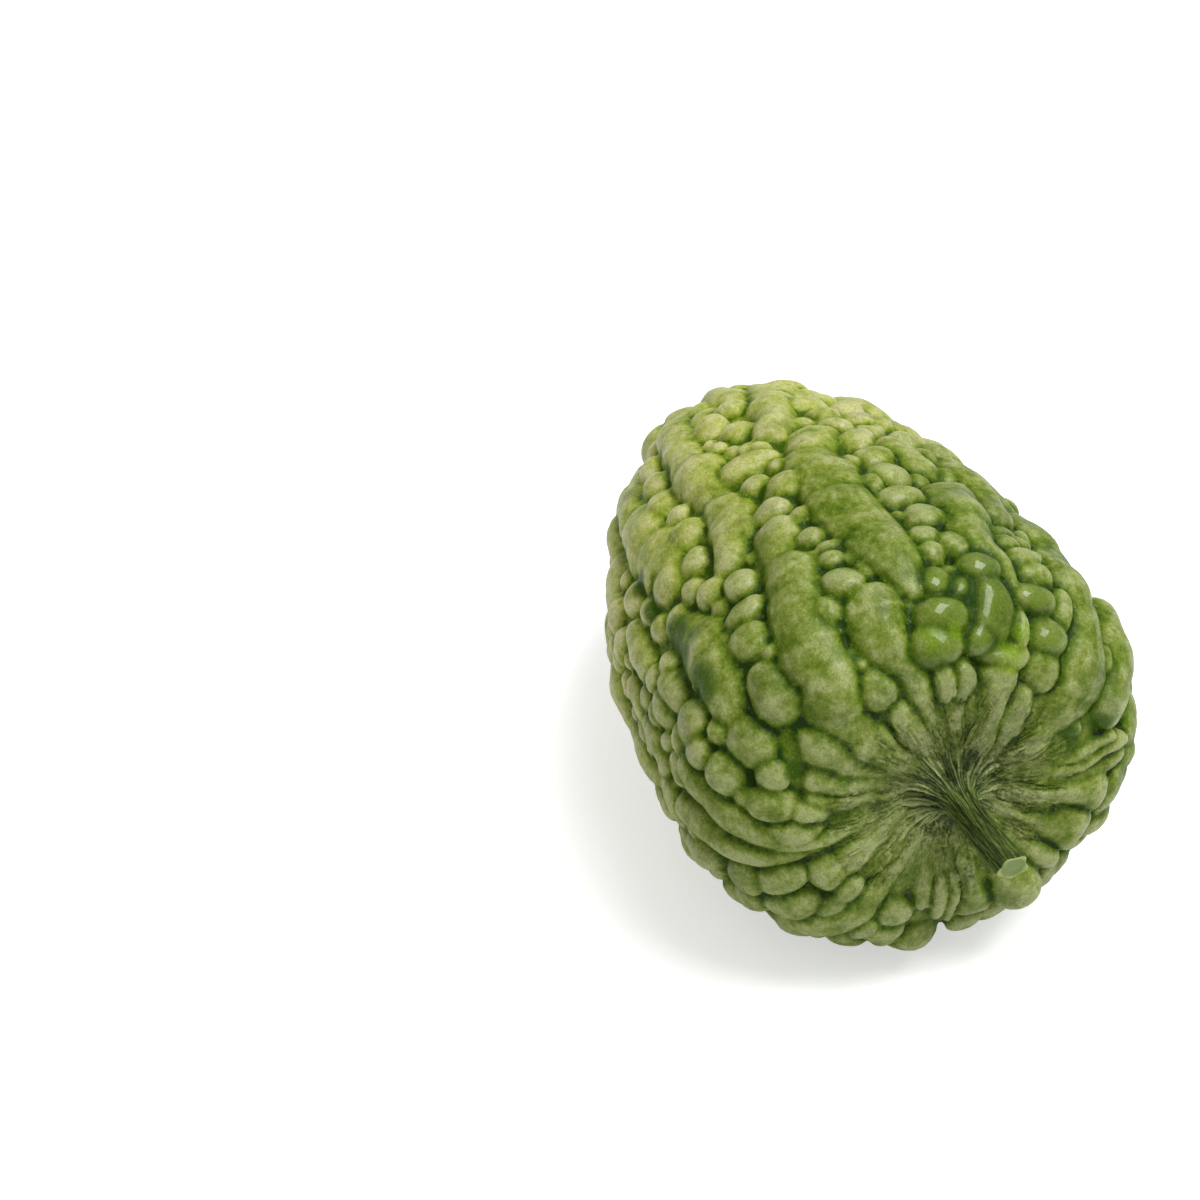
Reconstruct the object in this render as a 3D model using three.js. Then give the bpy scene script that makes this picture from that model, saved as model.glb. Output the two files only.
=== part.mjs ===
// Bitter melon: one warty fruit, as picked, lying on its side with its cut stem.
// Millimetres, +Z up. The stem points along +X. The origin is under the middle of the
// bounding box, on the surface that the fruit lies on.
import * as THREE from 'three';
import { mergeVertices } from 'three/addons/utils/BufferGeometryUtils.js';

// The fruit as a whole
const fruitTilt = 3; // degrees that the stem end stands up, as the barrel shape rests
const restFlat = 1; // depth of the flats where the lowest ridges press on the surface
const seatRadius = 6; // flat round the stem, where it joins the fruit
const girthLean = 0.058; // how much it bulges towards -Y, as a share of its radius
const girthFlat = 0.019; // how much it is flattened from above, as a share of its radius

// Relief of the skin
const reliefDepth = 6; // from the top of a ridge down to the valley floor
const reliefExcess = 1; // how far the fullest ridges stand out past the outline
const reliefFade = 30; // distance from either end over which the relief dies away
const bumpSpread = 1.25; // how far a bump's foot runs out past its half width
const bumpFullness = 1.25; // height of a bump in half widths
const wartRadius = 4;
const wartCount = 130;
const wartTurn = 137.508; // degrees from one wart to the next, the golden angle
const evenedOver = 1.5; // reach of the evening out of bumps over the grid's cells
const stepsAround = 76;
const stepsAlong = 54;

// The cut stem
const stemLength = 28.5;
const stemRadius = 3.1; // at mid length, between the collar and the cut end
const collarRadius = 4.6; // where the stem widens into the fruit
const cutFlare = 0.25; // how far the cut end swells
const stemLean = 1.4; // sideways drift of the cut end, towards +Y
const stemRibs = 6;
const stemRibHeight = 0.3;
const stemSides = 36;
const stemSteps = 12;
const jointGap = 0.3; // between the stem's foot and its seat

// Half outline of the fruit over its ridges, from the stem's seat to the blossom tip:
// distance along the axis, then distance from it
const outline = new THREE.SplineCurve([
  [23.5, 0], [24, 5], [26.2, 12], [28.9, 20], [29.4, 28], [26.6, 36.5], [20, 42.6],
  [10.8, 46.4], [0, 47.4], [-20, 46.9], [-42, 44.6], [-64, 39.5], [-84, 32.2],
  [-99, 24], [-109.5, 14], [-114.4, 5.4], [-115, 0],
].map(([x, r]) => new THREE.Vector2(x, r)));
const outlineLength = outline.getLength();

// Ridges: each a path of [distance from the stem over the skin, degrees round the axis,
// half width]. Degree 0 faces +Y, 90 is the top, 180 faces -Y and 270 is underneath.
const ridges = [
  // over the top
  [[81, 120.5, 5], [72, 122.5, 5.5], [62, 124.5, 5.7], [51, 130, 6.5], [36, 133, 5.7],
    [18, 131, 4], [9, 130, 2]],
  [[182, 130, 4], [165, 131, 5], [147, 130, 5], [132, 130, 5.8], [107, 127.5, 6],
    [87, 126.8, 5.5]],
  [[188, 98, 4], [168, 100, 5], [147, 109, 5], [131, 100.5, 6], [109, 97.2, 6.5],
    [88, 98.7, 6], [71, 98, 6.3], [56, 98, 5], [45, 97.5, 3]],
  [[55, 108.5, 4.5], [44, 112.5, 5.5], [31, 111.5, 4.2], [19, 106.5, 3], [12, 104, 2]],
  // side that faces -Y
  [[120, 152, 4], [108, 152, 5], [85, 151, 4.5]],
  [[77, 147, 5.5], [58, 149, 5.5], [44, 146.5, 6], [28, 150, 5], [12, 150, 2]],
  [[38, 162, 4.5], [31, 164, 4.5], [24, 163, 5], [11, 160, 2.2]],
  [[165, 168, 4], [140, 170, 5.2], [118, 168, 5.5], [100, 170, 5]],
  [[84, 176, 3.4], [66, 180, 3.4], [48, 184, 3.4], [34, 187, 3.4], [20, 180, 3],
    [13, 174, 2.5]],
  [[160, 190, 4.5], [135, 191, 5.5], [110, 187, 6], [88, 192, 5.5], [70, 193, 4.5],
    [49, 190.5, 4.3], [36, 192, 3]],
  [[172, 210, 4], [150, 207, 5.5], [122, 211, 6], [96, 207, 6], [72, 211, 5.5],
    [44, 209, 5]],
  [[33, 209, 5], [27, 208, 6], [17, 203, 3.5], [11, 200, 2.2]],
  // underneath
  [[168, 232, 4], [138, 230, 6], [108, 234, 6], [84, 229, 6], [62, 232, 6],
    [40, 227, 4.5], [30, 231, 5.5], [18, 233, 3.5], [12, 236, 2.5]],
  [[172, 255, 4], [145, 257, 5.5], [118, 252, 6], [92, 257, 6], [70, 252, 6],
    [50, 258, 5.5], [36, 264, 5.5], [24, 255, 3.6], [13, 250, 2]],
  [[160, 279, 4.5], [135, 281, 6], [110, 276, 6.5], [88, 280, 6.5], [64, 276, 6],
    [46, 281, 5.5]],
  [[37, 281, 5.5], [29, 281, 6.5], [20, 277, 4], [12, 275, 2]],
  [[178, 300, 3.5], [150, 304, 5.5], [120, 300, 6], [98, 304, 6], [76, 300, 6],
    [58, 305, 5], [32, 302, 4.8], [18, 298, 3], [12, 297, 2]],
  [[165, 325, 4], [140, 328, 6], [112, 324, 6], [90, 331, 6], [70, 326, 6],
    [46, 333, 5.5]],
  [[37, 331, 5.5], [30, 329, 6.3], [20, 327, 4], [12, 326, 2.5]],
  // side that faces +Y
  [[170, 352, 4], [140, 350, 5.5], [110, 355, 6], [85, 350, 6], [62, 353, 5.5],
    [46, 356, 5]],
  [[38, 350, 5], [32, 349, 6.3], [22, 347, 4.5], [13, 346, 3]],
  [[176, 20, 3.5], [150, 18, 5], [125, 20, 6], [100, 17, 6], [76, 24, 6], [52, 24, 5],
    [38, 17, 5], [22, 13, 3], [13, 14, 2]],
  [[166, 45, 4], [140, 46, 5.5], [120, 40, 6], [98, 38, 5.5]],
  [[80, 50, 4.5], [60, 46.5, 6], [50, 43, 6.5], [38, 41, 6.5], [22, 44, 4], [13, 42, 2.5]],
  [[130, 60, 5.5], [118, 57, 6], [92, 61, 4.5], [80, 58.5, 4.5]],
  [[41, 58.5, 4], [33, 57, 3.6], [22, 60, 2], [14, 62, 1.5]],
  [[180, 73, 4], [165, 72, 5.5], [148, 76, 6], [125, 86, 5.5], [106, 82, 4.5]],
  [[83, 77, 4.5], [72, 73.5, 5.5], [60, 69, 4], [51, 66, 2.5]],
  // round the blossom tip
  [[197, 60, 4], [188, 50, 4]],
  [[196, 170, 4], [184, 160, 4.5]],
  [[196, 280, 4], [186, 275, 4]],
];

const { clamp, lerp, euclideanModulo, DEG2RAD, RAD2DEG } = THREE.MathUtils;
const smooth = (share) => THREE.MathUtils.smoothstep(share, 0, 1);

// Small warts spread evenly over the skin between the two ends
const warts = Array.from({ length: wartCount }, (_, i) => {
  const share = (i + 0.5) / wartCount;
  return [lerp(20, outlineLength - 6, share), i * wartTurn, wartRadius];
});

// Outline at a distance over the skin: the point there, and the outward direction
function outlineAt(distance) {
  const share = clamp(distance / outlineLength, 0, 1);
  const point = outline.getPointAt(share);
  const tangent = outline.getTangentAt(share);
  return { point, outward: new THREE.Vector2(tangent.y, -tangent.x) };
}

// Radius at an angle round the axis, as a share of the outline's: it isn't quite round
function girthAt(angle) {
  return 1 - girthLean * Math.cos(angle) + girthFlat * Math.cos(2 * angle);
}

// Height of a rounded bump at a gap from its middle
function bumpHeight(gap, halfWidth) {
  const share = Math.min(gap / (halfWidth * bumpSpread), 1);
  return bumpFullness * halfWidth * (1 - share * share);
}

// Bump height at a place from the nearest point of a stretch of ridge
function stretchHeight(distance, degrees, radius, from, to) {
  const turned = (end) => euclideanModulo(end - degrees + 180, 360) - 180;
  const start = new THREE.Vector2(from[0] - distance, turned(from[1]) * DEG2RAD * radius);
  const stop = new THREE.Vector2(to[0] - distance, turned(to[1]) * DEG2RAD * radius);
  const step = stop.sub(start);
  const share = clamp(-start.dot(step) / Math.max(step.lengthSq(), 1e-9), 0, 1);
  const gap = start.addScaledVector(step, share).length();
  return bumpHeight(gap, lerp(from[2], to[2], share));
}

// Height of the highest bump over the valley floor at one place
function bumpsAt(distance, degrees, radius) {
  let height = 0;
  for (const ridge of ridges) {
    for (let i = 1; i < ridge.length; i += 1) {
      const reach = stretchHeight(distance, degrees, radius, ridge[i - 1], ridge[i]);
      height = Math.max(height, reach);
    }
  }
  for (const wart of warts) {
    height = Math.max(height, stretchHeight(distance, degrees, radius, wart, wart));
  }
  return Math.min(height, reliefDepth + reliefExcess);
}

// The same, evened out over the width of one cell of the grid
function reliefAt(distance, degrees, radius) {
  const turn = RAD2DEG * evenedOver / Math.max(radius, evenedOver);
  const places = [[0, 0], [evenedOver, 0], [-evenedOver, 0], [0, turn], [0, -turn]];
  const heights = places.map(([along, round]) => bumpsAt(distance + along, degrees + round, radius));
  return heights.reduce((sum, height) => sum + height) / places.length;
}

// One point of the fruit's skin, with the fruit's axis along X
function skinPoint(distance, angle) {
  const { point, outward } = outlineAt(distance);
  const fade = smooth(Math.min(distance, outlineLength - distance) / reliefFade);
  const relief = fade > 0 ? reliefAt(distance, angle * RAD2DEG, point.y) : 0;
  const height = Math.min(relief, (reliefDepth + reliefExcess) * fade) - reliefDepth * fade;
  const radius = (point.y + height * outward.y) * girthAt(angle);
  const seated = distance < outlineLength / 2 && radius < seatRadius;
  const x = seated ? outline.points[0].x : point.x + height * outward.x;
  return new THREE.Vector3(x, radius * Math.cos(angle), radius * Math.sin(angle));
}

// Radius of the stem between its foot and its cut end, without its ribs
function stemRadiusAt(share) {
  const collar = (collarRadius - stemRadius) * Math.pow(1 - share, 5);
  return stemRadius + collar + cutFlare * smooth(5 * share - 4);
}

// One point of the stem, with the fruit's axis along X
function stemPoint(share, angle, fromAxis) {
  const foot = outline.points[0].x + jointGap;
  const rib = stemRibHeight * Math.cos(stemRibs * angle) * smooth(4 * share);
  const radius = fromAxis * (stemRadiusAt(share) + rib);
  const side = stemLean * share * share + radius * Math.cos(angle);
  return new THREE.Vector3(foot + stemLength * share, side, radius * Math.sin(angle));
}

// A closed solid made from a unit sphere or cylinder, whose own axis is turned from Y to X
// as every point moves to its place
function shapedSolid(grid, place) {
  grid.deleteAttribute('uv');
  grid.deleteAttribute('normal');
  const { position } = grid.attributes;
  for (let i = 0; i < position.count; i += 1) {
    const from = new THREE.Vector3().fromBufferAttribute(position, i);
    const angle = Math.atan2(from.x, from.z);
    const moved = place(from.y, angle, Math.hypot(from.x, from.z));
    position.setXYZ(i, moved.x, moved.y, moved.z);
  }
  const solid = mergeVertices(grid, 1e-4);
  solid.rotateY(-fruitTilt * DEG2RAD);
  return solid;
}

// Press everything below a level up to it, as the fruit's weight does to its lowest ridges
function pressFlat(solid, depth) {
  solid.computeBoundingBox();
  const level = solid.boundingBox.min.z + depth;
  const { position } = solid.attributes;
  for (let i = 0; i < position.count; i += 1) {
    position.setZ(i, Math.max(position.getZ(i), level));
  }
  solid.computeBoundingBox();
}

function namedMesh(name, solid, color, roughness) {
  solid.computeVertexNormals();
  const material = new THREE.MeshStandardMaterial({ color, roughness, metalness: 0 });
  const mesh = new THREE.Mesh(solid, material);
  mesh.name = name;
  return mesh;
}

function makeFruit() {
  const ball = new THREE.SphereGeometry(1, stepsAround, stepsAlong);
  const skin = shapedSolid(ball, (height, angle) => {
    const distance = outlineLength * Math.acos(clamp(height, -1, 1)) / Math.PI;
    return skinPoint(distance, angle);
  });
  pressFlat(skin, restFlat);
  return namedMesh('fruit', skin, 0x7c9a45, 0.42);
}

function makeStem() {
  const rod = new THREE.CylinderGeometry(1, 1, 1, stemSides, stemSteps);
  const skin = shapedSolid(rod, (height, angle, fromAxis) => stemPoint(height + 0.5, angle, fromAxis));
  return namedMesh('stem', skin, 0x4a6430, 0.6);
}

const bitterMelon = new THREE.Group();
bitterMelon.add(makeFruit(), makeStem());
const box = new THREE.Box3().setFromObject(bitterMelon);
const middle = box.getCenter(new THREE.Vector3());
bitterMelon.position.set(-middle.x, -middle.y, -box.min.z);

export default bitterMelon;
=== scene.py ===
import math

import bmesh
import bpy
import numpy as np
from mathutils import Matrix, Vector
from mathutils.bvhtree import BVHTree


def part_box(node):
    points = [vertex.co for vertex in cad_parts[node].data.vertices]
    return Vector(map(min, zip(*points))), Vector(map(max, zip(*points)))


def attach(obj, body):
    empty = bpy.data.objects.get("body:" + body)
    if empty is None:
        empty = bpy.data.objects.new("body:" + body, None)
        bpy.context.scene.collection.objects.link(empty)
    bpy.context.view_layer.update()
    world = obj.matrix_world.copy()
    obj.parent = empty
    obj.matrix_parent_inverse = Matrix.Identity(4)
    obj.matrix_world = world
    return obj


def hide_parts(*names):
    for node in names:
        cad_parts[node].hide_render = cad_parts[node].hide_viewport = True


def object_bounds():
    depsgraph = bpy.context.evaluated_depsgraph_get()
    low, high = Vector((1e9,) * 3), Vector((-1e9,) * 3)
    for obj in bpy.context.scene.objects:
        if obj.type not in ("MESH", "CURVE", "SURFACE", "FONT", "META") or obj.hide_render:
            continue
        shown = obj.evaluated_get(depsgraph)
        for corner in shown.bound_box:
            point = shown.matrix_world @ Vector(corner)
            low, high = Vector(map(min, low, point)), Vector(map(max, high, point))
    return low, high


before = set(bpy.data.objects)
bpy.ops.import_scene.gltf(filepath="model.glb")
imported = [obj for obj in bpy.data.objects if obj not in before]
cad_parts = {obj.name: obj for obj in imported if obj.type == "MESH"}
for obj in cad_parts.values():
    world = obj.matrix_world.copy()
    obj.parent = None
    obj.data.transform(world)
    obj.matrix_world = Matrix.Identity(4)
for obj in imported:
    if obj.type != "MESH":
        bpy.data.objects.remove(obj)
cadLow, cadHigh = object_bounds()
mm = 0.001
print("frame loaded")


class Wire:
    # a node's output, ready for sums with numbers and with other outputs
    def __init__(self, tree, socket):
        self.tree = tree
        self.socket = socket

    def __add__(self, other):
        return calc("ADD", self, other)

    def __sub__(self, other):
        return calc("SUBTRACT", self, other)

    def __rsub__(self, other):
        return calc("SUBTRACT", other, self)

    def __mul__(self, other):
        return calc("MULTIPLY", self, other)

    def __truediv__(self, other):
        return calc("DIVIDE", self, other)

    def __rtruediv__(self, other):
        return calc("DIVIDE", other, self)


def feed(tree, node, inputs):
    # links or sets a node's inputs
    for socket, value in inputs.items():
        if isinstance(value, Wire):
            tree.links.new(value.socket, node.inputs[socket])
        else:
            node.inputs[socket].default_value = value


def addNode(tree, kind, inputs=None, **settings):
    node = tree.nodes.new(kind)
    for name, value in settings.items():
        setattr(node, name, value)
    feed(tree, node, inputs or {})
    return node


def made(tree, kind, inputs=None, output=0, **settings):
    # one of the outputs of a new node
    return Wire(tree, addNode(tree, kind, inputs, **settings).outputs[output])


def madeAll(tree, kind, inputs=None, **settings):
    # all outputs of a new node, by name
    return {socket.name: Wire(tree, socket) for socket in addNode(tree, kind, inputs, **settings).outputs}


def treeOf(values):
    return next(value.tree for value in values if isinstance(value, Wire))


def calc(operation, *values, clamp=False):
    return made(treeOf(values), "ShaderNodeMath", dict(enumerate(values)), operation=operation,
                use_clamp=clamp)


def vectorCalc(operation, *values, output=0):
    return made(treeOf(values), "ShaderNodeVectorMath", dict(enumerate(values)), output,
                operation=operation)


def scaled(vector, factor):
    return made(vector.tree, "ShaderNodeVectorMath", {0: vector, "Scale": factor}, operation="SCALE")


def remap(value, fromMin, fromMax, toMin=0.0, toMax=1.0, smooth=True):
    values = dict(enumerate((value, fromMin, fromMax, toMin, toMax)))
    kind = "SMOOTHSTEP" if smooth else "LINEAR"
    return made(value.tree, "ShaderNodeMapRange", values, interpolation_type=kind)


def newGroup(name, kind, inputs, outputs):
    # inputs are (name, kind of socket, start value) and outputs (name, kind of socket)
    tree = bpy.data.node_groups.new(name, kind)
    sockets = {}
    for socketName, socketKind, value in inputs:
        socket = tree.interface.new_socket(socketName, in_out="INPUT", socket_type="NodeSocket" + socketKind)
        if value is not None:
            socket.default_value = value
        sockets[socketName] = socket.identifier
    for socketName, socketKind in outputs:
        tree.interface.new_socket(socketName, in_out="OUTPUT", socket_type="NodeSocket" + socketKind)
    return tree, sockets, madeAll(tree, "NodeGroupInput"), tree.nodes.new("NodeGroupOutput")


def shapeGroup(name, values):
    # a geometry group with an input for each value, which starts at that value
    kinds = {float: "Float", int: "Int", bpy.types.Material: "Material"}
    inputs = [(key, kinds[type(value)], value) for key, value in values.items()]
    return newGroup(name, "GeometryNodeTree", [("Geometry", "Geometry", None), *inputs],
                    [("Geometry", "Geometry")])


def position(tree):
    return made(tree, "GeometryNodeInputPosition")


def named(tree, name, kind="FLOAT"):
    return made(tree, "GeometryNodeInputNamedAttribute", {"Name": name}, data_type=kind)


def store(geometry, name, value):
    values = {"Geometry": geometry, "Name": name, "Value": value}
    return made(geometry.tree, "GeometryNodeStoreNamedAttribute", values, data_type="FLOAT", domain="POINT")


def moved(shape, direction, amount):
    values = {"Geometry": shape, "Offset": scaled(direction, amount)}
    return made(shape.tree, "GeometryNodeSetPosition", values)


def linkObject(name, data):
    obj = bpy.data.objects.new(name, data)
    bpy.context.scene.collection.objects.link(obj)
    return obj


def linkMesh(name, points, edges=(), faces=()):
    mesh = bpy.data.meshes.new(name)
    mesh.from_pydata([tuple(p) for p in points], list(edges), list(faces))
    return linkObject(name, mesh)


def applied(obj, name):
    # the evaluated shape becomes a plain mesh on a new object, and the old object goes
    bpy.context.view_layer.update()
    graph = bpy.context.evaluated_depsgraph_get()
    mesh = bpy.data.meshes.new_from_object(obj.evaluated_get(graph), preserve_all_data_layers=True,
                                           depsgraph=graph)
    mesh.name = name
    bpy.data.objects.remove(obj)
    return linkObject(name, mesh)


def setAttribute(mesh, name, values, kind="FLOAT"):
    attribute = mesh.attributes.get(name) or mesh.attributes.new(name, kind, "POINT")
    key = "vector" if kind == "FLOAT_VECTOR" else "value"
    attribute.data.foreach_set(key, np.asarray(values, np.float32).ravel())


def band(start, sides):
    # the faces between one ring of points and the next
    return [(start + j, start + (j + 1) % sides, start + sides + (j + 1) % sides, start + sides + j)
            for j in range(sides)]


# The fruit. Lengths are in millimetres and its axis lies along X until it is placed.
fruit = {
    "tilt": 3.0,  # degrees, stem end up
    "outline": [  # over the ridges, from the stem's seat to the blossom tip
        (23.5, 0), (24, 5), (26.2, 12), (28.9, 20), (29.4, 28), (26.6, 36.5), (20, 42.6),
        (10.8, 46.4), (0, 47.4), (-20, 46.9), (-42, 44.6), (-64, 39.5), (-84, 32.2),
        (-99, 24), (-109.5, 14), (-114.4, 5.4), (-115, 0)],
    "outlineSteps": 16,  # rows to each stretch of it
    "girthLean": 0.058,  # fuller on the side that faces -Y
    "girthFlat": 0.019,  # wider than it is high
    "sway": 0.038,  # further lean round swayMiddle
    "swayMiddle": -42.0,
    "swayReach": 34.0,
    "valleyDepth": 6.0,  # under the outline
    "valleyFade": 26.0,  # shallower this near either end
    "floorAround": 96,  # faces of the valley floor
    "floorAlong": 72,
    "floorLift": 0.42,  # how far the valley floor is filled in, as a share of its depth
    "funnelFill": 0.72,  # how far what is left of it is filled in beside the stem
    "funnelReach": 34.0,
    "funnelEdge": 20.0,  # ridges that end nearer the stem than this run on down to funnelFoot
    "funnelFoot": 6.5,
    "overrun": 1.4,  # other ridges start and stop this far beyond the ends of their paths
    "wartRise": 0.72,  # how high a wart's top stands, as a share of its half width
    "creaseDepth": 3.4,  # below a ridge's crest, where its neighbours press against it
    "ridgeSpread": 1.1,
    "wartSpread": 1.28,  # a wart runs on under its neighbours
    "warp": 2.8,  # how far bumps are pushed out of shape
    "warpScale": 75.0,
    "restFlat": 1.0,  # how deep the lowest ridges are pressed flat
    "spread": 0.12,  # how far bumps move away from the stem, as a share of their distance past the shoulder
    "shoulder": 25.0,
    "ridgeSwell": 0.09,  # how much a ridge's width wavers
    "swellScale": 90.0,
    "lobeLength": 17.0,
    "neckDepth": 0.1,
    "fillerGap": 3.9,  # between the small warts that fill the valleys
    "fillerLargest": 3.4,
    "fillerDensity": 250000.0,  # tries to a square metre, more than the gap lets through
    "fillerEnd": 21.0,  # none grow further along X, in the funnel
    "tubeStep": 0.9,  # between the rings of a ridge
    "voxel": 0.52,  # size of the steps in which all bumps are merged into one skin
    "evening": 2,  # rounds of evening out
    "fullness": 0.4,  # how far warts are pushed out of their hollows
    "crispness": 1.3,  # how sharply creases are cut in
    "refineReach": 25.0,  # the skin is finer this near the stem
    "fibres": 60.0,  # how many run out round the stem
    "fibreFade": (25.0, 10.0),  # none beyond the first distance, full height within the second
    "fibreHeight": 0.4,
    "wrinkles": 115.0,
    "wrinkleFade": (38.0, 16.0),
    "wrinkleHeight": 0.85,
    "unevenness": 0.17,
    "triangles": 190000,
    "seed": 11,
}

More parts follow.
